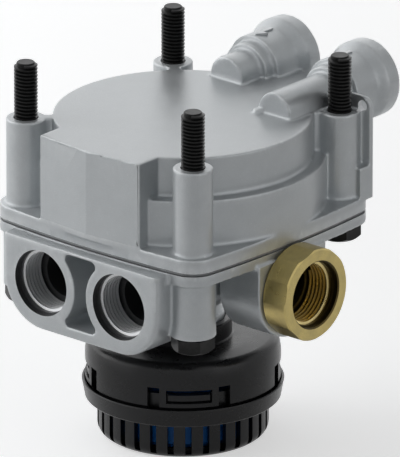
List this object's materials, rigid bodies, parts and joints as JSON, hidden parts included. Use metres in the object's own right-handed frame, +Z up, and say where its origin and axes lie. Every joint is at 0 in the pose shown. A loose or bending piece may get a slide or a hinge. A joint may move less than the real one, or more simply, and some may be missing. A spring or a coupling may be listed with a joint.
{
  "type": "air brake relay valve",
  "caption": "Air brake relay valve: cast cover with two control tubes, ported body with a brass supply adapter, stacked pistons, double seat valve and a slotted exhaust silencer.",
  "frame": {"origin": "centre of the silencer's flat base, on the valve axis", "axes": "+Z up the valve axis towards the cover, -Y out of the two delivery ports, +X out of the brass supply port"},
  "size_m": [0.108, 0.1196, 0.134],
  "materials": {
    "cast_body": "die cast, fine blasted, satin",
    "cast_cover": "die cast, fine blasted, satin",
    "gasket": "matt",
    "black_steel": "black coated, satin",
    "brass": "machined, glossy",
    "piston_alloy": "machined",
    "seal_rubber": "matt",
    "valve_plastic": "moulded",
    "spring_steel": "bright wire",
    "silencer_plastic": "moulded, satin",
    "insert_blue": "moulded",
    "rivet_plastic": "moulded"
  },
  "bodies": {
    "housing": {"body": "cast_body", "cover": "cast_cover", "flange_gasket": "gasket", "bolt_front_left": "black_steel", "bolt_front_right": "black_steel", "bolt_rear_left": "black_steel", "bolt_rear_right": "black_steel", "supply_adapter": "brass", "adapter_seal": "seal_rubber", "valve_guide": "valve_plastic", "guide_ring": "seal_rubber", "stem_ring": "seal_rubber", "guide_clip": "spring_steel", "valve_spring": "spring_steel", "silencer_housing": "silencer_plastic", "silencer_cage": "silencer_plastic", "silencer_insert": "insert_blue", "silencer_rivet": "rivet_plastic"},
    "relay_piston": {"relay_piston": "piston_alloy", "relay_piston_ring": "seal_rubber"},
    "control_piston": {"control_piston": "piston_alloy", "control_piston_ring": "seal_rubber"},
    "inlet_valve": {"inlet_valve": "valve_plastic", "valve_seal": "seal_rubber"}
  },
  "joints": [
    {"name": "relay_piston_slide", "type": "slide", "parent": "housing", "child": "relay_piston", "axis": [0, 0, 1], "range_m": [-0.0045, 0]},
    {"name": "control_piston_slide", "type": "slide", "parent": "housing", "child": "control_piston", "axis": [0, 0, 1], "range_m": [-0.0045, 0]},
    {"name": "inlet_valve_slide", "type": "slide", "parent": "housing", "child": "inlet_valve", "axis": [0, 0, 1], "range_m": [-0.003, 0], "stiffness_N_per_m": 1500, "springref_m": 0.004, "deforming": ["valve_spring"]}
  ],
  "couplings": [
    {"joint": "control_piston_slide", "follows": "relay_piston_slide", "ratio": 1},
    {"joint": "inlet_valve_slide", "follows": "relay_piston_slide", "ratio": 0.66667}
  ]
}
